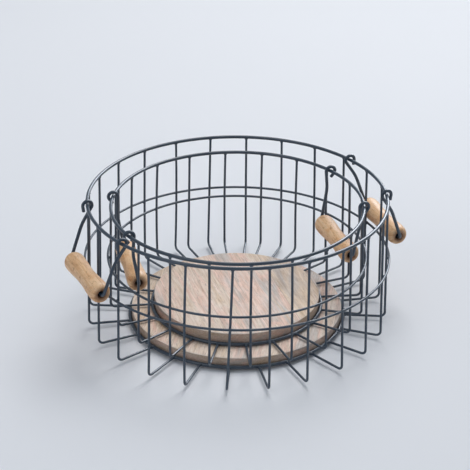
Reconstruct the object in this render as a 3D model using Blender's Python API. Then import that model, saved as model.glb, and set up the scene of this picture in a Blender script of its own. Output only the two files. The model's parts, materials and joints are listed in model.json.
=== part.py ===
"""Nested pair of round wire produce baskets with wooden base discs and bail handles.

Metres, +Z up. The origin is the centre of the large disc's underside, where the pair stands.
Angles round the baskets run from the front (-Y) towards +X.
"""

from math import acos, cos, pi, radians, sin, sqrt, tau

import bmesh
import bpy
from mathutils import Matrix

# Gap left between pieces that touch or are welded on the real baskets.
GAP = 0.0003

# Wire gauges, as radii.
RIM_WIRE = 0.0021
RIB_WIRE = 0.0015
HOOP_WIRE = 0.0015
RING_WIRE = 0.0022
BAIL_WIRE = 0.0020

# Base discs: one board thickness for both baskets, with eased edges.
DISC_THICKNESS = 0.0160
DISC_EASE = 0.0012
DISC_TO_RING = 0.0004

# Inside radius of each rib's foot bend, to the wire's centre line.
FOOT_BEND = 0.0060

# Each basket: rim_r and foot_r are wire centre lines, heights are above the floor.
LARGE = {
    "name": "large",
    "ribs": 24,
    "first_rib": -78.4,
    "stands_at": 0.0,
    "rim_r": 0.1800,
    "rim_z": 0.1619,
    "hoop_z": 0.0868,
    "foot_r": 0.1845,
    "ring_r": 0.1326,
    "ring_lift": 0.0048,
    "lean": 20.5,
    "bails": {"left": -63.9, "right": 110.5},
}
SMALL = {
    "name": "small",
    "ribs": 20,
    "first_rib": -83.8,
    "stands_at": DISC_THICKNESS + GAP,
    "rim_r": 0.1522,
    "rim_z": 0.1525,
    "hoop_z": 0.0872,
    "foot_r": 0.1564,
    "ring_r": 0.1046,
    "ring_lift": 0.0027,
    "lean": -9.5,
    "bails": {"left": -75.9, "right": 109.0},
}

# Bail: half the distance between its eyes, its arm length and the corners at the grip.
# Each eye is a drop, and its neck is where the drop runs into the straight arm.
EYE_HALF_SPAN = 0.0543
CORNER_HALF_SPAN = 0.0520
ARM_LENGTH = 0.0680
CORNER_BEND = 0.0050
EYE_RADIUS = 0.0058
EYE_END_ANGLE = 298
EYE_NECK = 0.0240
TAIL_LENGTH = 0.0065

# Turned grip.
GRIP_HALF = 0.0475
GRIP_WAIST = 0.0108
GRIP_SWELL = 0.0125
GRIP_FACE = 0.0076
GRIP_DOME = 0.0090
GRIP_BORE = 0.0026
GRIP_SINK = 0.0050
GRIP_SINK_DEPTH = 0.0060

RING_STEPS_PER_RIB = 3


def clear_scene():
    for obj in list(bpy.data.objects):
        bpy.data.objects.remove(obj, do_unlink=True)


def make_material(name, colour, roughness, metallic):
    material = bpy.data.materials.new(name)
    material.use_nodes = True
    shader = material.node_tree.nodes["Principled BSDF"]
    shader.inputs["Base Color"].default_value = (*colour, 1)
    shader.inputs["Roughness"].default_value = roughness
    shader.inputs["Metallic"].default_value = metallic
    return material


def add_object(name, data, material, location=(0, 0, 0), rotation=(0, 0, 0), parent=None):
    data.materials.clear()
    data.materials.append(material)
    obj = bpy.data.objects.new(name, data)
    obj.location = location
    obj.rotation_euler = rotation
    obj.parent = parent
    bpy.context.scene.collection.objects.link(obj)
    return obj


def wire_curve(name, points, radius, sides_step, cyclic=False):
    """A round wire along straight steps between points, with its ends capped."""
    curve = bpy.data.curves.new(name, "CURVE")
    curve.dimensions = "3D"
    curve.bevel_depth = radius
    curve.bevel_resolution = sides_step
    curve.use_fill_caps = not cyclic
    spline = curve.splines.new("POLY")
    spline.points.add(len(points) - 1)
    for point, place in zip(spline.points, points):
        point.co = (*place, 1)
    spline.use_cyclic_u = cyclic
    spline.use_smooth = True
    return curve


def bend(centre, start, end, radius, axis_a, axis_b, steps):
    """Points of an arc about centre, its angle measured from axis_a towards axis_b."""
    points = []
    for step in range(steps + 1):
        angle = start + (end - start) * step / steps
        points.append(tuple(c + radius * (a * cos(angle) + b * sin(angle))
                            for c, a, b in zip(centre, axis_a, axis_b)))
    return points


def ring_curve(basket, name, radius, height, wire):
    steps = basket["ribs"] * RING_STEPS_PER_RIB
    phase = radians(basket["first_rib"])
    points = []
    for step in range(steps):
        angle = phase + tau * step / steps
        points.append((radius * sin(angle), -radius * cos(angle), height))
    return wire_curve(name, points, wire, 2, cyclic=True)


def leg_height(basket):
    return basket["stands_at"] + basket["ring_lift"]


def rib_radius_at(basket, height):
    """Radius of a rib's centre line, which leans out evenly from the rim to its foot."""
    top = basket["rim_z"] - RIM_WIRE - GAP
    foot = leg_height(basket)
    share = (top - height) / (top - foot)
    return basket["rim_r"] + (basket["foot_r"] - basket["rim_r"]) * share


def rib_curve(basket):
    """An L-shaped wire in the local YZ plane, standing out along -Y."""
    top = basket["rim_z"] - RIM_WIRE - GAP
    foot = leg_height(basket)
    bend_z = foot + FOOT_BEND
    bend_r = rib_radius_at(basket, bend_z)
    leg_end = basket["ring_r"] + RING_WIRE + GAP
    corner = bend((0, -bend_r + FOOT_BEND, bend_z), 0, pi / 2, FOOT_BEND, (0, -1, 0), (0, 0, -1), 4)
    points = [(0, -basket["rim_r"], top)] + corner + [(0, -leg_end, foot)]
    return wire_curve(f"{basket['name']}_rib", points, RIB_WIRE, 1)


def disc_mesh(basket):
    """A round board with eased edges, its rim facets in line with the base ring's."""
    radius = basket["ring_r"] - RING_WIRE - DISC_TO_RING
    bm = bmesh.new()
    bmesh.ops.create_cone(
        bm,
        cap_ends=True,
        segments=basket["ribs"] * RING_STEPS_PER_RIB,
        radius1=radius,
        radius2=radius,
        depth=DISC_THICKNESS,
        matrix=Matrix.Rotation(radians(basket["first_rib"] - 90), 4, "Z"),
    )
    lips = [edge for edge in bm.edges if abs(edge.verts[0].co.z - edge.verts[1].co.z) < 1e-6]
    bmesh.ops.bevel(
        bm, geom=lips, offset=DISC_EASE, segments=1, profile=0.5, affect="EDGES", material=-1
    )
    mesh = bpy.data.meshes.new(f"{basket['name']}_base_disc")
    bm.to_mesh(mesh)
    bm.free()
    mesh.shade_smooth()
    mesh.set_sharp_from_angle(angle=radians(30))
    return mesh


def bail_curve():
    """A wire bail hanging from the X axis: tail, eye, arm, grip run, arm, eye, tail."""
    touch = acos(EYE_RADIUS / EYE_NECK)
    end = radians(EYE_END_ANGLE)
    side = []
    tail_y = EYE_RADIUS * sin(end) + TAIL_LENGTH * cos(end)
    tail_z = -EYE_RADIUS * cos(end) + TAIL_LENGTH * sin(end)
    side.append((EYE_HALF_SPAN, tail_y, tail_z))
    centre = (EYE_HALF_SPAN, 0, 0)
    side += bend(centre, end, touch, EYE_RADIUS, (0, 0, -1), (0, 1, 0), 11)
    neck_in = (EYE_HALF_SPAN - CORNER_HALF_SPAN) * EYE_NECK / ARM_LENGTH
    side.append((EYE_HALF_SPAN - neck_in, 0, -EYE_NECK))
    side += bend(
        (CORNER_HALF_SPAN - CORNER_BEND, 0, -ARM_LENGTH + CORNER_BEND),
        0, pi / 2, CORNER_BEND, (1, 0, 0), (0, 0, -1), 4,
    )
    other = [(-x, y, z) for x, y, z in reversed(side)]
    return wire_curve("bail", side + other, BAIL_WIRE, 2)


def grip_profile():
    """Half outline of the turned grip as (along, radius), from its middle to its bore."""
    points = []
    for step in range(6):
        share = step / 5
        swell = (1 - cos(pi * share)) / 2
        along = (GRIP_HALF - GRIP_DOME) * share
        points.append((along, GRIP_WAIST + (GRIP_SWELL - GRIP_WAIST) * swell))
    for step in range(1, 5):
        angle = pi / 2 * step / 4
        along = GRIP_HALF - GRIP_DOME + GRIP_DOME * sin(angle)
        points.append((along, GRIP_FACE + (GRIP_SWELL - GRIP_FACE) * cos(angle)))
    points.append((GRIP_HALF, GRIP_SINK))
    points.append((GRIP_HALF - GRIP_SINK_DEPTH, GRIP_BORE))
    return points


def grip_mesh():
    """The grip outline turned about the X axis, with a through bore for the bail wire."""
    half = grip_profile()
    outline = [(-x, r) for x, r in reversed(half[1:])] + half
    bm = bmesh.new()
    verts = [bm.verts.new((x, 0, r)) for x, r in outline]
    edges = [bm.edges.new((a, b)) for a, b in zip(verts, verts[1:] + verts[:1])]
    bmesh.ops.spin(
        bm, geom=verts + edges, cent=(0, 0, 0), axis=(1, 0, 0),
        angle=tau, steps=20, use_merge=True,
    )
    bmesh.ops.recalc_face_normals(bm, faces=bm.faces)
    mesh = bpy.data.meshes.new("grip")
    bm.to_mesh(mesh)
    bm.free()
    mesh.shade_smooth()
    mesh.set_sharp_from_angle(angle=radians(35))
    return mesh


def build_frame(basket, wire):
    """Rim, hoop, base ring and ribs: the welded cage of one basket."""
    name = basket["name"]
    hoop_r = rib_radius_at(basket, basket["hoop_z"]) + RIB_WIRE + GAP + HOOP_WIRE
    rings = (
        ("rim", basket["rim_r"], basket["rim_z"], RIM_WIRE),
        ("mid_hoop", hoop_r, basket["hoop_z"], HOOP_WIRE),
        ("base_ring", basket["ring_r"], leg_height(basket), RING_WIRE),
    )
    for label, radius, height, gauge in rings:
        node = f"{name}_{label}"
        add_object(node, ring_curve(basket, node, radius, height, gauge), wire)
    rib = rib_curve(basket)
    for number in range(basket["ribs"]):
        turn = radians(basket["first_rib"] + 360 / basket["ribs"] * number)
        add_object(f"{name}_rib_{number + 1:02d}", rib, wire, rotation=(0, 0, turn))


def build_disc(basket, wood):
    middle = (0, 0, basket["stands_at"] + DISC_THICKNESS / 2)
    add_object(f"{basket['name']}_base_disc", disc_mesh(basket), wood, location=middle)


def build_bails(basket, bail, grip, wire, wood):
    """Two bails hung on the rim, each with a grip free to spin on its lower run."""
    name = basket["name"]
    reach = sqrt(basket["rim_r"] ** 2 - EYE_HALF_SPAN ** 2)
    for side, azimuth in basket["bails"].items():
        turn = radians(azimuth)
        hung = add_object(
            f"{name}_bail_{side}",
            bail,
            wire,
            location=(reach * sin(turn), -reach * cos(turn), basket["rim_z"]),
            rotation=(-radians(basket["lean"]), 0, turn),
        )
        add_object(f"{name}_grip_{side}", grip, wood, location=(0, 0, -ARM_LENGTH), parent=hung)


clear_scene()
dark_wire = make_material("dark_wire", (0.045, 0.060, 0.078), 0.42, 0.0)
mango_wood = make_material("mango_wood", (0.66, 0.53, 0.45), 0.70, 0.0)
grip_wood = make_material("grip_wood", (0.72, 0.47, 0.26), 0.55, 0.0)
bail_shape = bail_curve()
grip_shape = grip_mesh()
for each in (LARGE, SMALL):
    build_frame(each, dark_wire)
    build_disc(each, mango_wood)
    build_bails(each, bail_shape, grip_shape, dark_wire, grip_wood)
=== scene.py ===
"""A nested pair of round wire produce baskets, finished: coated wire, mango discs, turned grips.

Metres, +Z up, -Y towards the front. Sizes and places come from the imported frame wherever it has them.
"""

import json
from math import acos, atan2, cos, pi, radians, sin, tau
from random import Random

import bmesh
import bpy
from mathutils import Matrix, Vector


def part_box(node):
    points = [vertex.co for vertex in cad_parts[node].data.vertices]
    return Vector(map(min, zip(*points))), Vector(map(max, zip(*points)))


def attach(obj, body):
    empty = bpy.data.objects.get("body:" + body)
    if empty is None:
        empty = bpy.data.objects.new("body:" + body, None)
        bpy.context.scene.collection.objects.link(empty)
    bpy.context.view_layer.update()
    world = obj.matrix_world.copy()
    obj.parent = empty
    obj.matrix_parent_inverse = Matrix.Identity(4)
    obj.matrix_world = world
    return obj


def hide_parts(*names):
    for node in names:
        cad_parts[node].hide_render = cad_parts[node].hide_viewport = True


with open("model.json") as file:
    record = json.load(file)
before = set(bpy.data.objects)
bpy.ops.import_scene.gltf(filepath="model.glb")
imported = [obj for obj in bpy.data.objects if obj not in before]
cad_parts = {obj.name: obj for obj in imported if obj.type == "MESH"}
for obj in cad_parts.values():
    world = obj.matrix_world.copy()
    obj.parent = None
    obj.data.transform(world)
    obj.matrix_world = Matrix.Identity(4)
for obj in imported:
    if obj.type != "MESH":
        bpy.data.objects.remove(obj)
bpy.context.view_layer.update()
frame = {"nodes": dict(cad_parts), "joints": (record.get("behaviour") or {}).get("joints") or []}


# ---------------------------------------------------------------------------------------------
# The view: a long lens from the front, looking down at the middle of the pair.
# The camera is turned a touch about its own line of sight.
# ---------------------------------------------------------------------------------------------
VIEW_DISTANCE = 1.8610
VIEW_ELEVATION = radians(27.316)
VIEW_ROLL = radians(0.534)
AIM_HEIGHT = 0.1107
LENS = 117.22
SENSOR = 36.0
SIDE_SHIFT = -0.0048

lens = bpy.data.cameras.new("camera")
lens.sensor_width = SENSOR
lens.lens = LENS
lens.shift_x = SIDE_SHIFT
camera = bpy.data.objects.new("camera", lens)
stand_off = (0, -VIEW_DISTANCE * cos(VIEW_ELEVATION), AIM_HEIGHT + VIEW_DISTANCE * sin(VIEW_ELEVATION))
camera.matrix_world = (
    Matrix.Translation(stand_off)
    @ Matrix.Rotation(pi / 2 - VIEW_ELEVATION, 4, "X")
    @ Matrix.Rotation(VIEW_ROLL, 4, "Z")
)
bpy.context.scene.collection.objects.link(camera)
bpy.context.scene.camera = camera
bpy.context.scene.view_settings.view_transform = "Standard"


# ---------------------------------------------------------------------------------------------
# The tabletop and the light: a wide matt sheet of pale blue-grey card under a large soft window
# at the back right, with a weaker one in front and a room that is brightest overhead. A pale
# panel, low at the back right, only shows as the sheen along the wires.
# ---------------------------------------------------------------------------------------------
FLOOR_SIZE = 14.0
FLOOR_DROP = 0.0002
FLOOR_COLOUR = (0.76, 0.785, 0.84, 1)
FLOOR_PALE = (0.7752, 0.8007, 0.8526, 1)
FLOOR_CLOUD_SCALE = 1.3
ROOM_LOW = (0.34, 0.37, 0.42, 1)
ROOM_HIGH = (0.92, 0.96, 1.0, 1)
ROOM_STRENGTH = 0.50
ROOM_TOP = 0.75
# Name, place, the point it faces, width, power and colour.
WINDOWS = (
    ("window", (0.60, 1.55, 2.60), (0, 0, 0.05), 2.10, 52.0, (1.0, 0.985, 0.96)),
    ("front_window", (-1.3, -1.5, 1.5), (0, 0, 0.08), 1.60, 7.0, (0.94, 0.97, 1.0)),
    ("panel", (0.90, 1.56, 1.30), (0, 0, 0.10), 1.50, 50.0, (0.86, 0.91, 1.0)),
)


def add_node(tree, kind, **settings):
    made = tree.nodes.new(kind)
    for name, value in settings.items():
        setattr(made, name, value)
    return made


def set_inputs(made, **values):
    for name, value in values.items():
        made.inputs[name.replace("_", " ")].default_value = value
    return made


def blend(tree, kind, share, first, second):
    """Mixes two colours. Each of share, first and second is a socket to link or a plain value."""
    mixer = add_node(tree, "ShaderNodeMix", data_type="RGBA", blend_type=kind)
    for index, given in ((0, share), (6, first), (7, second)):
        if isinstance(given, bpy.types.NodeSocket):
            tree.links.new(given, mixer.inputs[index])
        else:
            mixer.inputs[index].default_value = given
    return mixer.outputs[2]


def new_material(name):
    material = bpy.data.materials.new(name)
    material.use_nodes = True
    return material, material.node_tree, material.node_tree.nodes["Principled BSDF"]


def link_mesh(bm, name, material, place=None):
    """Closes a bmesh off as an object at the origin, with its place in its mesh."""
    mesh = bpy.data.meshes.new(name)
    bm.to_mesh(mesh)
    bm.free()
    if place is not None:
        mesh.transform(place)
    mesh.materials.append(material)
    piece = bpy.data.objects.new(name, mesh)
    bpy.context.scene.collection.objects.link(piece)
    return piece


def add_window(name, place, aim, size, power, colour):
    light = bpy.data.lights.new(name, "AREA")
    light.shape = "DISK"
    light.size = size
    light.energy = power
    light.color = colour
    window = bpy.data.objects.new(name, light)
    window.location = place
    window.rotation_euler = (Vector(aim) - Vector(place)).to_track_quat("-Z", "Y").to_euler()
    bpy.context.scene.collection.objects.link(window)
    return window


card, card_tree, card_shader = new_material("pale_card")
set_inputs(card_shader, Roughness=0.85, Specular_IOR_Level=0.10)
card_place = add_node(card_tree, "ShaderNodeTexCoord")
card_cloud = set_inputs(add_node(card_tree, "ShaderNodeTexNoise"), Scale=FLOOR_CLOUD_SCALE, Detail=2.0)
card_tree.links.new(card_place.outputs["Object"], card_cloud.inputs["Vector"])
card_tone = blend(card_tree, "MIX", card_cloud.outputs["Fac"], FLOOR_COLOUR, FLOOR_PALE)
card_tree.links.new(card_tone, card_shader.inputs["Base Color"])

table = bmesh.new()
bmesh.ops.create_grid(table, x_segments=2, y_segments=2, size=FLOOR_SIZE / 2)
floor = link_mesh(table, "floor", card, Matrix.Translation((0, 0, -FLOOR_DROP)))

world = bpy.data.worlds.new("room")
world.use_nodes = True
room_tree = world.node_tree
room = set_inputs(room_tree.nodes["Background"], Strength=ROOM_STRENGTH)
sky = add_node(room_tree, "ShaderNodeTexCoord")
height = add_node(room_tree, "ShaderNodeSeparateXYZ")
climb = set_inputs(add_node(room_tree, "ShaderNodeMapRange"), From_Min=0.0, From_Max=ROOM_TOP)
room_tree.links.new(sky.outputs["Generated"], height.inputs[0])
room_tree.links.new(height.outputs["Z"], climb.inputs["Value"])
room_tone = blend(room_tree, "MIX", climb.outputs[0], ROOM_LOW, ROOM_HIGH)
room_tree.links.new(room_tone, room.inputs["Color"])
bpy.context.scene.world = world
windows = {row[0]: add_window(*row) for row in WINDOWS}
windows["panel"].visible_diffuse = False


# ---------------------------------------------------------------------------------------------
# Wire finish: mild steel wire, welded up bare and then powder coated dark slate blue-grey.
# The coat is satin, with the fine orange-peel skin that powder leaves, thin over the welds.
# ---------------------------------------------------------------------------------------------
COAT_DARK = (0.016, 0.032, 0.056, 1)
COAT_LIGHT = (0.030, 0.054, 0.086, 1)
SPECK_SHARE = 0.35


def make_coat_skin():
    """Node group: tone, sheen and orange-peel relief of a powder coat."""
    group = bpy.data.node_groups.new("powder_coat_skin", "ShaderNodeTree")
    sockets = group.interface
    sockets.new_socket("Dark", in_out="INPUT", socket_type="NodeSocketColor")
    sockets.new_socket("Light", in_out="INPUT", socket_type="NodeSocketColor")
    sockets.new_socket("Peel", in_out="INPUT", socket_type="NodeSocketFloat")
    sockets.new_socket("Gloss Low", in_out="INPUT", socket_type="NodeSocketFloat")
    sockets.new_socket("Gloss High", in_out="INPUT", socket_type="NodeSocketFloat")
    sockets.new_socket("Color", in_out="OUTPUT", socket_type="NodeSocketColor")
    sockets.new_socket("Roughness", in_out="OUTPUT", socket_type="NodeSocketFloat")
    sockets.new_socket("Normal", in_out="OUTPUT", socket_type="NodeSocketVector")
    given = add_node(group, "NodeGroupInput")
    result = add_node(group, "NodeGroupOutput")
    place = add_node(group, "ShaderNodeTexCoord")
    tone = set_inputs(add_node(group, "ShaderNodeTexNoise"), Scale=38.0, Detail=3.0)
    speck = set_inputs(add_node(group, "ShaderNodeTexNoise"), Scale=900.0, Detail=2.0)
    peel = set_inputs(add_node(group, "ShaderNodeTexNoise"), Scale=1500.0, Detail=1.5)
    share = add_node(group, "ShaderNodeMath", operation="MULTIPLY_ADD")
    share.inputs[1].default_value = SPECK_SHARE
    gloss = set_inputs(add_node(group, "ShaderNodeMapRange"), From_Min=0.35, From_Max=0.65)
    relief = set_inputs(add_node(group, "ShaderNodeBump"), Distance=0.0002)
    link = group.links.new
    for texture in (tone, speck, peel):
        link(place.outputs["Object"], texture.inputs["Vector"])
    link(speck.outputs["Fac"], share.inputs[0])
    link(tone.outputs["Fac"], share.inputs[2])
    colour = blend(group, "MIX", share.outputs[0], given.outputs["Dark"], given.outputs["Light"])
    link(colour, result.inputs["Color"])
    link(tone.outputs["Fac"], gloss.inputs["Value"])
    link(given.outputs["Gloss Low"], gloss.inputs["To Min"])
    link(given.outputs["Gloss High"], gloss.inputs["To Max"])
    link(gloss.outputs[0], result.inputs["Roughness"])
    link(peel.outputs["Fac"], relief.inputs["Height"])
    link(given.outputs["Peel"], relief.inputs["Strength"])
    link(relief.outputs["Normal"], result.inputs["Normal"])
    return group


def coated(name, skin, peel, gloss_low, gloss_high):
    material, tree, shader = new_material(name)
    coat = add_node(tree, "ShaderNodeGroup", node_tree=skin)
    set_inputs(coat, Dark=COAT_DARK, Light=COAT_LIGHT)
    set_inputs(coat, Peel=peel, Gloss_Low=gloss_low, Gloss_High=gloss_high)
    set_inputs(shader, Specular_IOR_Level=0.60, Coat_Weight=0.30, Coat_Roughness=0.16)
    tree.links.new(coat.outputs["Color"], shader.inputs["Base Color"])
    tree.links.new(coat.outputs["Roughness"], shader.inputs["Roughness"])
    tree.links.new(coat.outputs["Normal"], shader.inputs["Normal"])
    return material


coat_skin = make_coat_skin()
coated_wire = coated("coated_wire", coat_skin, peel=0.10, gloss_low=0.28, gloss_high=0.38)
coated_weld = coated("coated_weld", coat_skin, peel=0.30, gloss_low=0.40, gloss_high=0.55)


# ---------------------------------------------------------------------------------------------
# Rims, middle hoops and base rings: round wire rolled to a circle and butt-welded end to end,
# three to a basket. The rim and the ring are the heavy wires and the hoop is the light one.
# ---------------------------------------------------------------------------------------------
BASKETS = ("large", "small")
ROLLED = ("rim", "mid_hoop", "base_ring")
ROLL_STEPS = 240
ROLL_SIDES = 16


def ring_of(node):
    """Centre-line radius, height and wire radius of a rolled ring, read from the frame."""
    low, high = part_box(node)
    wire = (high.z - low.z) / 2
    return (high.x - low.x) / 2 - wire, (high.z + low.z) / 2, wire


def smooth(piece, sharp_over):
    piece.data.shade_smooth()
    piece.data.set_sharp_from_angle(angle=radians(sharp_over))


for basket in BASKETS:
    for rolled in ROLLED:
        node_name = f"{basket}_{rolled}"
        radius, height, wire = ring_of(node_name)
        bm = bmesh.new()
        section = bmesh.ops.create_circle(
            bm, segments=ROLL_SIDES, radius=wire,
            matrix=Matrix.Translation((0, -radius, height)) @ Matrix.Rotation(pi / 2, 4, "Y"),
        )["verts"]
        bmesh.ops.spin(
            bm, geom=section + bm.edges[:], cent=(0, 0, 0), axis=(0, 0, 1),
            angle=tau, steps=ROLL_STEPS, use_merge=True,
        )
        bmesh.ops.recalc_face_normals(bm, faces=bm.faces)
        ring = link_mesh(bm, f"{node_name}_wire", coated_wire)
        smooth(ring, 60)
        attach(ring, f"{basket}_basket")
        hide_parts(node_name)


# ---------------------------------------------------------------------------------------------
# Ribs: straight cut lengths of 3 mm wire, each with one tight bend near the floor. The top is
# welded under the rim and the leg runs in to the base ring. Welded by hand, none is quite true.
# ---------------------------------------------------------------------------------------------
RIB_COUNTS = {"large": 24, "small": 20}
RIB_WIRE = 0.0015
RIB_SIDES = 14
KNEE = 0.0060
KNEE_STEPS = 8
STRAIGHT_STEPS = 8
RIB_SWAY = 0.0007
RIB_SEED = 11
# How far a rib's ends sink into the rim and the ring, in their wire radii, and the easing of a
# cut end, in its own.
RIB_TUCK = 0.6
END_EASE = 0.25
# One front rib was welded well off true: how far along the rim its top stands.
TOP_LEAN = {"large_rib_06": 0.0062}


def new_section(bm, centre, direction, radius, sides):
    """The cut face of a wire at the start of its run."""
    turn = Vector((0, 0, 1)).rotation_difference(direction).to_matrix().to_4x4()
    verts = bmesh.ops.create_circle(
        bm, segments=sides, radius=radius, matrix=Matrix.Translation(centre) @ turn
    )["verts"]
    return list({edge for vert in verts for edge in vert.link_edges})


def draw_wire(bm, path, radius, sides):
    """Draws a round wire along a path, turning its section at each step, and closes both ends."""
    path = [Vector(point) for point in path]
    legs = [(b - a).normalized() for a, b in zip(path, path[1:])]
    facing = [legs[0]] + [(a + b).normalized() for a, b in zip(legs, legs[1:])] + [legs[-1]]
    section = new_section(bm, path[0], facing[0], radius, sides)
    for step in range(1, len(path)):
        grown = bmesh.ops.extrude_edge_only(bm, edges=section)["geom"]
        verts = [item for item in grown if isinstance(item, bmesh.types.BMVert)]
        fresh = set(verts)
        section = [item for item in grown if isinstance(item, bmesh.types.BMEdge)
                   and item.verts[0] in fresh and item.verts[1] in fresh]
        bmesh.ops.translate(bm, vec=path[step] - path[step - 1], verts=verts)
        turn = facing[step - 1].rotation_difference(facing[step]).to_matrix()
        bmesh.ops.rotate(bm, cent=path[step], matrix=turn, verts=verts)
    ends = bmesh.ops.holes_fill(bm, edges=bm.edges, sides=0)["faces"]
    lips = list({edge for face in ends for edge in face.edges})
    bmesh.ops.bevel(
        bm, geom=lips, offset=radius * END_EASE, segments=2, profile=0.5, affect="EDGES", material=-1
    )
    bmesh.ops.recalc_face_normals(bm, faces=bm.faces)


def arc(centre, start, end, radius, axis_a, axis_b, steps):
    """Points of an arc about centre, its angle measured from axis_a towards axis_b."""
    centre, axis_a, axis_b = Vector(centre), Vector(axis_a), Vector(axis_b)
    points = []
    for step in range(steps + 1):
        angle = start + (end - start) * step / steps
        points.append(centre + radius * (axis_a * cos(angle) + axis_b * sin(angle)))
    return points


def reach_of(node):
    """Nearest and farthest distance of a node from the basket's axis."""
    spans = [vert.co.xy.length for vert in frame["nodes"][node].data.vertices]
    return min(spans), max(spans)


rib_lines = {}
hand = Random(RIB_SEED)
for basket in BASKETS:
    rim_r, rim_z, rim_wire = ring_of(f"{basket}_rim")
    ring_r, ring_z, ring_wire = ring_of(f"{basket}_base_ring")
    for number in range(1, RIB_COUNTS[basket] + 1):
        node_name = f"{basket}_rib_{number:02d}"
        low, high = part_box(node_name)
        middle = (low + high) / 2
        azimuth = atan2(middle.x, -middle.y)
        knee_r = reach_of(node_name)[1] - RIB_WIRE
        foot = low.z + RIB_WIRE
        top = Vector((0, -rim_r, rim_z - rim_wire * RIB_TUCK))
        knee_top = Vector((0, -knee_r, foot + KNEE))
        path = [top.lerp(knee_top, step / STRAIGHT_STEPS) for step in range(STRAIGHT_STEPS)]
        knee = (0, -knee_r + KNEE, foot + KNEE)
        path += arc(knee, 0, pi / 2, KNEE, (0, -1, 0), (0, 0, -1), KNEE_STEPS)
        path.append(Vector((0, -ring_r - ring_wire * RIB_TUCK, foot)))
        sway = hand.gauss(0, RIB_SWAY)
        bow = hand.gauss(0, RIB_SWAY)
        lean = TOP_LEAN.get(node_name, 0.0)
        for point in path:
            drop = (rim_z - point.z) / (rim_z - foot)
            run_in = (-point.y - ring_r) / (knee_r - ring_r)
            point.x += (sway * drop + bow * sin(pi * drop)) * min(1, max(0, run_in))
            point.x += lean * (1 - min(1, drop))
        bm = bmesh.new()
        draw_wire(bm, path, RIB_WIRE, RIB_SIDES)
        rib = link_mesh(bm, f"{node_name}_wire", coated_wire, Matrix.Rotation(azimuth, 4, "Z"))
        smooth(rib, 50)
        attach(rib, f"{basket}_basket")
        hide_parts(node_name)
        rib_lines[node_name] = (azimuth, path)


# ---------------------------------------------------------------------------------------------
# Welds: a small puddle of metal at every crossing, where the rib meets the rim, the hoop and
# the base ring, and one on each rolled wire where its two ends meet. All are under the coat.
# ---------------------------------------------------------------------------------------------
WELD_SEED = 5
RIM_PUDDLE = (0.00235, 0.00215, 0.0020)
HOOP_PUDDLE = (0.0019, 0.0016, 0.0017)
RING_PUDDLE = (0.0021, 0.0024, 0.0019)
PUDDLE_TUCK = 0.9
HOOP_PUDDLE_IN = 0.0002
RIPPLE = 0.10
RIPPLE_TURNS = (2600, 2300)
SEAM_ANGLES = {"rim": 148, "mid_hoop": 162, "base_ring": 171}
SEAM_LENGTH = 1.3
SEAM_GIRTH = 1.12


def add_puddle(bm, place, size, roll):
    """A small blob, its skin rippled where the metal froze."""
    squash = Matrix.Diagonal((*size, 1))
    verts = bmesh.ops.create_icosphere(
        bm, subdivisions=2, radius=1.0, matrix=Matrix.Translation(place) @ squash
    )["verts"]
    turns_x, turns_z = RIPPLE_TURNS
    for vert in verts:
        away = vert.co - place
        vert.co += away * RIPPLE * sin(away.x * turns_x + roll) * sin(away.z * turns_z + roll * 2)
    return verts


torch = Random(WELD_SEED)
for basket in BASKETS:
    rim_r, rim_z, rim_wire = ring_of(f"{basket}_rim")
    hoop_r, hoop_z, hoop_wire = ring_of(f"{basket}_mid_hoop")
    ring_r, ring_z, ring_wire = ring_of(f"{basket}_base_ring")
    bm = bmesh.new()
    for node_name, (azimuth, path) in rib_lines.items():
        if not node_name.startswith(basket):
            continue
        at_hoop = min(path, key=lambda point: abs(point.z - hoop_z)).x
        spots = (
            (Vector((path[0].x, -rim_r, rim_z - rim_wire * PUDDLE_TUCK)), RIM_PUDDLE),
            (Vector((at_hoop, -hoop_r + hoop_wire + HOOP_PUDDLE_IN, hoop_z)), HOOP_PUDDLE),
            (Vector((0, -ring_r - ring_wire * PUDDLE_TUCK, ring_z)), RING_PUDDLE),
        )
        turn = Matrix.Rotation(azimuth, 4, "Z")
        for place, size in spots:
            verts = add_puddle(bm, place, size, torch.uniform(0, tau))
            bmesh.ops.transform(bm, matrix=turn, verts=verts)
    for rolled, seam in SEAM_ANGLES.items():
        radius, height, wire = ring_of(f"{basket}_{rolled}")
        size = (wire * SEAM_LENGTH, wire * SEAM_GIRTH, wire * SEAM_GIRTH)
        verts = add_puddle(bm, Vector((0, -radius, height)), size, torch.uniform(0, tau))
        bmesh.ops.transform(bm, matrix=Matrix.Rotation(radians(seam), 4, "Z"), verts=verts)
    welds = link_mesh(bm, f"{basket}_welds", coated_weld)
    smooth(welds, 180)
    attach(welds, f"{basket}_basket")


# ---------------------------------------------------------------------------------------------
# Base discs: mango boards glued edge to edge, sawn round, eased and sanded, then limewashed so
# that pink, tan and grey figure shows through. Each stands inside its base ring, whose wire
# runs close round its edge.
# ---------------------------------------------------------------------------------------------
DISC_STEPS = 240
EASE = 0.0012
GRAIN_TURN = {"large": radians(9), "small": radians(-17)}
GRAIN_OFFSET = {"large": 0.013, "small": 0.131}
BOARD_WIDTH = 0.046
BOARD_SLIDE = 3.0
MANGO_TINTS = (
    (0.00, (0.540, 0.490, 0.460)),
    (0.22, (0.790, 0.620, 0.450)),
    (0.42, (0.850, 0.730, 0.630)),
    (0.60, (0.900, 0.640, 0.540)),
    (0.78, (0.600, 0.570, 0.560)),
    (1.00, (0.820, 0.640, 0.470)),
)
MANGO_STREAK = (0.66, 0.56, 0.48, 1)
MANGO_PORE = (0.33, 0.25, 0.21, 1)
LIMEWASH = (0.80, 0.73, 0.68, 1)
GLUE_LINE = (0.22, 0.17, 0.14, 1)
# Painted shade for the sawn side of the disc, over the wood's own greyer tone.
SHADED_SAWN_EDGE = (0.66, 0.61, 0.57, 1)
# Painted highlight for the eased corner, over the paler sanded wood.
SANDED_CORNER_HIGHLIGHT = (0.84, 0.77, 0.69, 1)


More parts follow.
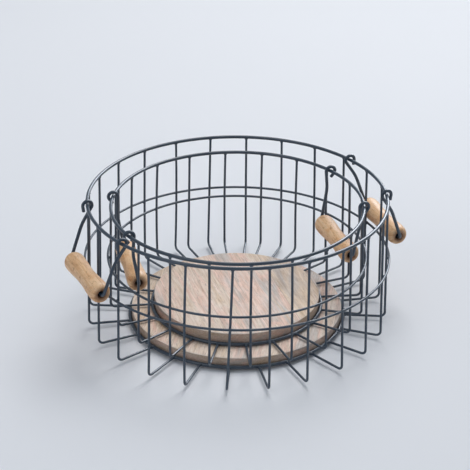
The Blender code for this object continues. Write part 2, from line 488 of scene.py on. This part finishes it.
def make_wood_fibre():
    """Node group: soft figure, long fibres and short pores, with the grain along its Y."""
    group = bpy.data.node_groups.new("wood_fibre", "ShaderNodeTree")
    sockets = group.interface
    sockets.new_socket("Place", in_out="INPUT", socket_type="NodeSocketVector")
    sockets.new_socket("Figure Scale", in_out="INPUT", socket_type="NodeSocketFloat")
    sockets.new_socket("Fibre Scale", in_out="INPUT", socket_type="NodeSocketFloat")
    for name in ("Figure", "Fibre", "Pores"):
        sockets.new_socket(name, in_out="OUTPUT", socket_type="NodeSocketFloat")
    given = add_node(group, "NodeGroupInput")
    result = add_node(group, "NodeGroupOutput")
    link = group.links.new
    stretches = {"Figure": (1.0, 0.16, 2.2), "Fibre": (1.0, 0.075, 1.6), "Pores": (1.0, 0.13, 1.0)}
    noises = {}
    for name, stretch in stretches.items():
        long_way = add_node(group, "ShaderNodeMapping")
        long_way.inputs["Scale"].default_value = stretch
        noise = add_node(group, "ShaderNodeTexNoise")
        link(given.outputs["Place"], long_way.inputs["Vector"])
        link(long_way.outputs[0], noise.inputs["Vector"])
        noises[name] = noise
    set_inputs(noises["Figure"], Detail=3.0, Roughness=0.55, Distortion=0.7)
    set_inputs(noises["Fibre"], Detail=4.0, Roughness=0.62, Distortion=0.15)
    set_inputs(noises["Pores"], Scale=1100.0, Detail=1.0)
    link(given.outputs["Figure Scale"], noises["Figure"].inputs["Scale"])
    link(given.outputs["Fibre Scale"], noises["Fibre"].inputs["Scale"])
    spread = set_inputs(add_node(group, "ShaderNodeMapRange"), From_Min=0.28, From_Max=0.72)
    comb = set_inputs(add_node(group, "ShaderNodeMapRange"), From_Min=0.30, From_Max=0.70)
    prick = set_inputs(add_node(group, "ShaderNodeMapRange"), From_Min=0.60, From_Max=0.70)
    for name, shaped in (("Figure", spread), ("Fibre", comb), ("Pores", prick)):
        link(noises[name].outputs["Fac"], shaped.inputs["Value"])
        link(shaped.outputs[0], result.inputs[name])
    return group


def add_ramp(tree, stops):
    ramp = add_node(tree, "ShaderNodeValToRGB")
    bands = ramp.color_ramp.elements
    while len(bands) < len(stops):
        bands.new(0.5)
    for band, (place, colour) in zip(bands, stops):
        band.position = place
        band.color = (*colour, 1)
    return ramp


def reshape(tree, value, low, high, to_low, to_high):
    """Maps a value from low..high to to_low..to_high and stops it at both ends."""
    ranged = set_inputs(
        add_node(tree, "ShaderNodeMapRange"),
        From_Min=low, From_Max=high, To_Min=to_low, To_Max=to_high,
    )
    tree.links.new(value, ranged.inputs["Value"])
    return ranged.outputs[0]


def arithmetic(tree, operation, first, second=0.0, third=0.0):
    """One sum on two or three inputs, each a socket to link or a plain number."""
    sum_node = add_node(tree, "ShaderNodeMath", operation=operation)
    for index, given in enumerate((first, second, third)):
        if isinstance(given, bpy.types.NodeSocket):
            tree.links.new(given, sum_node.inputs[index])
        else:
            sum_node.inputs[index].default_value = given
    return sum_node.outputs[0]


def make_mango(name, fibre_group, grain_turn, offset):
    material, tree, shader = new_material(name)
    link = tree.links.new
    place = add_node(tree, "ShaderNodeTexCoord")
    laid = add_node(tree, "ShaderNodeMapping")
    laid.inputs["Rotation"].default_value = (0, 0, grain_turn)
    laid.inputs["Location"].default_value = (offset, offset * 1.7, 0)
    link(place.outputs["Object"], laid.inputs["Vector"])
    split = add_node(tree, "ShaderNodeSeparateXYZ")
    link(laid.outputs[0], split.inputs[0])

    # Each glued board has its own number, which shifts its figure and its tint.
    across = arithmetic(tree, "DIVIDE", split.outputs["X"], BOARD_WIDTH)
    board = arithmetic(tree, "FLOOR", across)
    within = arithmetic(tree, "FRACT", across)
    draw = add_node(tree, "ShaderNodeTexWhiteNoise", noise_dimensions="1D")
    link(board, draw.inputs["W"])
    slide = arithmetic(tree, "MULTIPLY", draw.outputs["Value"], BOARD_SLIDE)
    own_place = add_node(tree, "ShaderNodeCombineXYZ")
    link(split.outputs["X"], own_place.inputs["X"])
    link(arithmetic(tree, "ADD", split.outputs["Y"], slide), own_place.inputs["Y"])
    link(split.outputs["Z"], own_place.inputs["Z"])
    fibre = add_node(tree, "ShaderNodeGroup", node_tree=fibre_group)
    set_inputs(fibre, Figure_Scale=40.0, Fibre_Scale=420.0)
    link(own_place.outputs[0], fibre.inputs["Place"])

    tint_place = arithmetic(tree, "MULTIPLY_ADD", fibre.outputs["Figure"], 0.72, 0.0)
    tint_place = arithmetic(tree, "MULTIPLY_ADD", draw.outputs["Value"], 0.30, tint_place)
    ramp = add_ramp(tree, MANGO_TINTS)
    link(tint_place, ramp.inputs[0])
    streak = reshape(tree, fibre.outputs["Fibre"], 0.0, 1.0, 0.0, 1.0)
    colour = blend(tree, "MULTIPLY", streak, ramp.outputs[0], MANGO_STREAK)
    pores = arithmetic(tree, "MULTIPLY", fibre.outputs["Pores"], 0.62)
    colour = blend(tree, "MIX", pores, colour, MANGO_PORE)

    # Limewash lies in cloudy patches and fills the fibres between them.
    cloud = set_inputs(add_node(tree, "ShaderNodeTexNoise"), Scale=26.0, Detail=4.0, Roughness=0.6)
    link(place.outputs["Object"], cloud.inputs["Vector"])
    wash = reshape(tree, cloud.outputs["Fac"], 0.35, 0.70, 0.02, 0.34)
    colour = blend(tree, "MIX", wash, colour, LIMEWASH)

    # Glue lines: a hair of shadow where two boards meet.
    edge = arithmetic(tree, "ABSOLUTE", arithmetic(tree, "SUBTRACT", within, 0.5))
    seam = reshape(tree, edge, 0.490, 0.4985, 0.0, 0.45)
    colour = blend(tree, "MIX", seam, colour, GLUE_LINE)

    # The sawn side is painted darker and greyer than the face: painted shade over the sawn wood's own
    # greyer tone. The eased corner is painted paler: a painted highlight over the sanded wood.
    facing = add_node(tree, "ShaderNodeNewGeometry")
    tilt = add_node(tree, "ShaderNodeSeparateXYZ")
    link(facing.outputs["Normal"], tilt.inputs[0])
    upright = arithmetic(tree, "ABSOLUTE", tilt.outputs["Z"])
    # Painted shade: the upright side is darkened by this mask.
    side_shade = arithmetic(tree, "MULTIPLY", reshape(tree, upright, 0.12, 0.32, 1.0, 0.0), 0.85)
    colour = blend(tree, "MULTIPLY", side_shade, colour, SHADED_SAWN_EDGE)
    # Painted highlight: the eased corner between side and face is painted paler.
    corner_in = reshape(tree, upright, 0.30, 0.50, 0.0, 1.0)
    corner_out = reshape(tree, upright, 0.85, 0.985, 1.0, 0.0)
    corner = arithmetic(tree, "MULTIPLY", arithmetic(tree, "MULTIPLY", corner_in, corner_out), 0.55)
    colour = blend(tree, "MIX", corner, colour, SANDED_CORNER_HIGHLIGHT)
    link(colour, shader.inputs["Base Color"])
    link(reshape(tree, fibre.outputs["Fibre"], 0.0, 1.0, 0.58, 0.80), shader.inputs["Roughness"])

    # Raised fibre, open pores and the seams give the sanded face its relief.
    relief = arithmetic(tree, "SUBTRACT", fibre.outputs["Fibre"], fibre.outputs["Pores"])
    relief = arithmetic(tree, "SUBTRACT", relief, arithmetic(tree, "MULTIPLY", seam, 2.0))
    bump = set_inputs(add_node(tree, "ShaderNodeBump"), Strength=0.35, Distance=0.0003)
    link(relief, bump.inputs["Height"])
    link(bump.outputs["Normal"], shader.inputs["Normal"])
    return material


wood_fibre = make_wood_fibre()
for basket in BASKETS:
    mango = make_mango(f"{basket}_mango_board", wood_fibre, GRAIN_TURN[basket], GRAIN_OFFSET[basket])
    low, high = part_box(f"{basket}_base_disc")
    bm = bmesh.new()
    bmesh.ops.create_circle(bm, cap_ends=True, segments=DISC_STEPS, radius=(high.x - low.x) / 2)
    sheet = bm.faces[:]
    risen = bmesh.ops.extrude_face_region(bm, geom=sheet, use_keep_orig=True)["geom"]
    top_verts = [item for item in risen if isinstance(item, bmesh.types.BMVert)]
    bmesh.ops.translate(bm, vec=(0, 0, high.z - low.z), verts=top_verts)
    lips = [edge for edge in bm.edges if abs(edge.verts[0].co.z - edge.verts[1].co.z) < 1e-6]
    bmesh.ops.bevel(
        bm, geom=lips, offset=EASE, segments=4, profile=0.5, affect="EDGES", material=-1
    )
    bmesh.ops.recalc_face_normals(bm, faces=bm.faces)
    disc = link_mesh(bm, f"{basket}_mango_disc", mango, Matrix.Translation((0, 0, low.z)))
    smooth(disc, 40)
    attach(disc, f"{basket}_basket")
    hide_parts(f"{basket}_base_disc")


# ---------------------------------------------------------------------------------------------
# Bails: 4 mm wire, bent cold. Each arm ends in a drop-shaped open eye hooked round the rim,
# its tail turned back under, and the lower run passes through the grip.
# ---------------------------------------------------------------------------------------------
SIDES = ("left", "right")
BAIL_WIRE = 0.0020
BAIL_SIDES = 16
EYE_HALF_SPAN = 0.0543
CORNER_HALF_SPAN = 0.0520
CORNER_BEND = 0.0050
EYE_RADIUS = 0.0058
EYE_END_ANGLE = radians(298)
EYE_NECK = 0.0240
TAIL_LENGTH = 0.0065
NECK_REACH = 0.0080
EYE_STEPS = 28
CORNER_STEPS = 10
NECK_STEPS = 8

joints = {joint["name"]: joint for joint in frame["joints"]}


def hung_at(basket, side):
    """Pivot, grip centre and turn of a bail: its X along the hinge, its -Z down the arms."""
    pivot = Vector(joints[f"{basket}_bail_{side}_swing"]["pos_m"])
    grip = joints[f"{basket}_grip_{side}_spin"]
    centre = Vector(grip["pos_m"])
    along = Vector(grip["axis"]).normalized()
    up = (pivot - centre).normalized()
    turn = Matrix((along, up.cross(along), up)).transposed().to_4x4()
    return pivot, centre, turn


def ease_corner(before, corner, after, reach, steps):
    """Points that take a wire round a slight corner in a smooth curve."""
    start = corner.lerp(before, reach / (before - corner).length)
    end = corner.lerp(after, reach / (after - corner).length)
    shares = [step / steps for step in range(steps + 1)]
    return [start.lerp(corner, t).lerp(corner.lerp(end, t), t) for t in shares]


def bail_path(arm):
    """Centre line of a bail: tail, eye, arm, corner and half the grip run, then its mirror image."""
    touch = acos(EYE_RADIUS / EYE_NECK)
    tail_dir = Vector((0, cos(EYE_END_ANGLE), sin(EYE_END_ANGLE)))
    eye = arc(
        (EYE_HALF_SPAN, 0, 0), EYE_END_ANGLE, touch, EYE_RADIUS, (0, 0, -1), (0, 1, 0), EYE_STEPS
    )
    side = [eye[0] + tail_dir * TAIL_LENGTH * (2 - step) / 2 for step in range(2)] + eye
    corner = arc(
        (CORNER_HALF_SPAN - CORNER_BEND, 0, -arm + CORNER_BEND),
        0, pi / 2, CORNER_BEND, (1, 0, 0), (0, 0, -1), CORNER_STEPS,
    )
    neck_in = (EYE_HALF_SPAN - CORNER_HALF_SPAN) * EYE_NECK / arm
    neck = Vector((EYE_HALF_SPAN - neck_in, 0, -EYE_NECK))
    side += ease_corner(eye[-1], neck, corner[0], NECK_REACH, NECK_STEPS) + corner
    return side + [Vector((-point.x, point.y, point.z)) for point in reversed(side)]


for basket in BASKETS:
    for side in SIDES:
        pivot, centre, turn = hung_at(basket, side)
        bm = bmesh.new()
        draw_wire(bm, bail_path((pivot - centre).length), BAIL_WIRE, BAIL_SIDES)
        hung = Matrix.Translation(pivot) @ turn
        bail = link_mesh(bm, f"{basket}_bail_{side}_wire", coated_wire, hung)
        smooth(bail, 50)
        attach(bail, f"{basket}_bail_{side}")
        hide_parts(f"{basket}_bail_{side}")


# ---------------------------------------------------------------------------------------------
# Grips: mango turned to a shallow waist between two domed ends, bored through and countersunk
# where the wire goes in. Oiled pale, with brown flecks; the end faces and the bore are painted dark as
# shade.
# ---------------------------------------------------------------------------------------------
GRIP_HALF = 0.0475
GRIP_WAIST = 0.0108
GRIP_SWELL = 0.0125
GRIP_FACE = 0.0076
GRIP_DOME = 0.0090
GRIP_BORE = 0.0026
GRIP_SINK = 0.0050
GRIP_SINK_DEPTH = 0.0060
GRIP_SINK_LIP = 0.0005
GRIP_STEPS = 64
SWELL_STEPS = 13
DOME_STEPS = 10
# Each grip is cut from its own stretch of the wood, this far along from the one before.
GRAIN_STEP = 0.37
TURNED_TINTS = (
    (0.00, (0.560, 0.300, 0.150)),
    (0.35, (0.780, 0.490, 0.270)),
    (0.60, (0.860, 0.580, 0.345)),
    (1.00, (0.910, 0.660, 0.430)),
)
TURNED_STREAK = (0.80, 0.66, 0.52, 1)
TURNED_PORE = (0.30, 0.14, 0.06, 1)
STAIN = (0.88, 0.62, 0.38, 1)
FLECK = (0.38, 0.17, 0.07, 1)
# Painted shade for the grip's end face.
PAINTED_FACE_SHADE = (0.210, 0.095, 0.045, 1)
# Painted shade for the countersink and bore, darker than the end face.
PAINTED_BORE_SHADE = (0.050, 0.024, 0.015, 1)


def grip_outline():
    """Half outline as (along, radius), from the middle out to the bore."""
    points = []
    for step in range(SWELL_STEPS + 1):
        share = step / SWELL_STEPS
        swell = (1 - cos(pi * share)) / 2
        radius = GRIP_WAIST + (GRIP_SWELL - GRIP_WAIST) * swell
        points.append(((GRIP_HALF - GRIP_DOME) * share, radius))
    for step in range(1, DOME_STEPS + 1):
        angle = pi / 2 * step / DOME_STEPS
        along = GRIP_HALF - GRIP_DOME + GRIP_DOME * sin(angle)
        points.append((along, GRIP_FACE + (GRIP_SWELL - GRIP_FACE) * cos(angle)))
    points.append((GRIP_HALF, GRIP_SINK + GRIP_SINK_LIP))
    points.append((GRIP_HALF - GRIP_SINK_LIP, GRIP_SINK))
    points.append((GRIP_HALF - GRIP_SINK_DEPTH, GRIP_BORE))
    return points


def make_turned(name, fibre_group, offset):
    material, tree, shader = new_material(name)
    link = tree.links.new
    along = add_node(tree, "ShaderNodeAttribute", attribute_name="lathe_place")
    laid = add_node(tree, "ShaderNodeMapping")
    laid.inputs["Rotation"].default_value = (0, 0, pi / 2)
    laid.inputs["Location"].default_value = (offset, offset * 2.3, offset * 0.7)
    link(along.outputs["Vector"], laid.inputs["Vector"])
    fibre = add_node(tree, "ShaderNodeGroup", node_tree=fibre_group)
    set_inputs(fibre, Figure_Scale=95.0, Fibre_Scale=620.0)
    link(laid.outputs[0], fibre.inputs["Place"])
    ramp = add_ramp(tree, TURNED_TINTS)
    link(fibre.outputs["Figure"], ramp.inputs[0])
    streak = arithmetic(tree, "MULTIPLY", fibre.outputs["Fibre"], 0.50)
    colour = blend(tree, "MULTIPLY", streak, ramp.outputs[0], TURNED_STREAK)
    pores = arithmetic(tree, "MULTIPLY", fibre.outputs["Pores"], 0.45)
    colour = blend(tree, "MIX", pores, colour, TURNED_PORE)

    # Warm stains in patches, then flecks and small knots.
    knots = set_inputs(add_node(tree, "ShaderNodeTexNoise"), Scale=150.0, Detail=4.0, Distortion=1.0)
    stains = set_inputs(add_node(tree, "ShaderNodeTexNoise"), Scale=62.0, Detail=3.0, Distortion=0.6)
    link(laid.outputs[0], knots.inputs["Vector"])
    link(laid.outputs[0], stains.inputs["Vector"])
    stain = reshape(tree, stains.outputs["Fac"], 0.50, 0.70, 0.0, 0.60)
    colour = blend(tree, "MULTIPLY", stain, colour, STAIN)
    fleck = reshape(tree, knots.outputs["Fac"], 0.60, 0.72, 0.0, 0.75)
    colour = blend(tree, "MIX", fleck, colour, FLECK)

    # Painted shade: a ragged ring of the end face is painted dark brown, and the countersink and bore
    # darker still.
    split = add_node(tree, "ShaderNodeSeparateXYZ")
    link(along.outputs["Vector"], split.inputs[0])
    off_axis = arithmetic(tree, "SQRT", arithmetic(
        tree, "ADD",
        arithmetic(tree, "MULTIPLY", split.outputs["Y"], split.outputs["Y"]),
        arithmetic(tree, "MULTIPLY", split.outputs["Z"], split.outputs["Z"]),
    ))
    ragged = arithmetic(tree, "MULTIPLY_ADD", knots.outputs["Fac"], 0.0022, off_axis)
    from_middle = arithmetic(tree, "ABSOLUTE", split.outputs["X"])
    near_end = reshape(tree, from_middle, 0.0430, 0.0465, 0.0, 1.0)
    inner_face = reshape(tree, ragged, 0.0075, 0.0112, 0.80, 0.0)
    face_shade = arithmetic(tree, "MULTIPLY", inner_face, near_end)
    colour = blend(tree, "MIX", face_shade, colour, PAINTED_FACE_SHADE)
    # Painted shade inside the countersink and bore.
    bore_shade = reshape(tree, ragged, 0.0050, 0.0064, 0.95, 0.0)
    colour = blend(tree, "MIX", bore_shade, colour, PAINTED_BORE_SHADE)
    link(colour, shader.inputs["Base Color"])
    link(reshape(tree, fibre.outputs["Fibre"], 0.0, 1.0, 0.40, 0.58), shader.inputs["Roughness"])
    relief = arithmetic(tree, "SUBTRACT", fibre.outputs["Fibre"], fibre.outputs["Pores"])
    bump = set_inputs(add_node(tree, "ShaderNodeBump"), Strength=0.22, Distance=0.0002)
    link(relief, bump.inputs["Height"])
    link(bump.outputs["Normal"], shader.inputs["Normal"])
    return material


grip_number = 0
for basket in BASKETS:
    for side in SIDES:
        grip_number += 1
        turned_wood = make_turned(
            f"{basket}_{side}_turned_wood", wood_fibre, grip_number * GRAIN_STEP
        )
        pivot, centre, turn = hung_at(basket, side)
        half = grip_outline()
        outline = [(-x, r) for x, r in reversed(half[1:])] + half
        bm = bmesh.new()
        verts = [bm.verts.new((x, 0, r)) for x, r in outline]
        edges = [bm.edges.new(pair) for pair in zip(verts, verts[1:] + verts[:1])]
        bmesh.ops.spin(
            bm, geom=verts + edges, cent=(0, 0, 0), axis=(1, 0, 0),
            angle=tau, steps=GRIP_STEPS, use_merge=True,
        )
        bmesh.ops.recalc_face_normals(bm, faces=bm.faces)
        grip = link_mesh(bm, f"{basket}_grip_{side}_turned", turned_wood)
        lathe_place = grip.data.attributes.new("lathe_place", "FLOAT_VECTOR", "POINT")
        for value, vert in zip(lathe_place.data, grip.data.vertices):
            value.vector = vert.co
        grip.data.transform(Matrix.Translation(centre) @ turn)
        smooth(grip, 35)
        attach(grip, f"{basket}_grip_{side}")
        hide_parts(f"{basket}_grip_{side}")
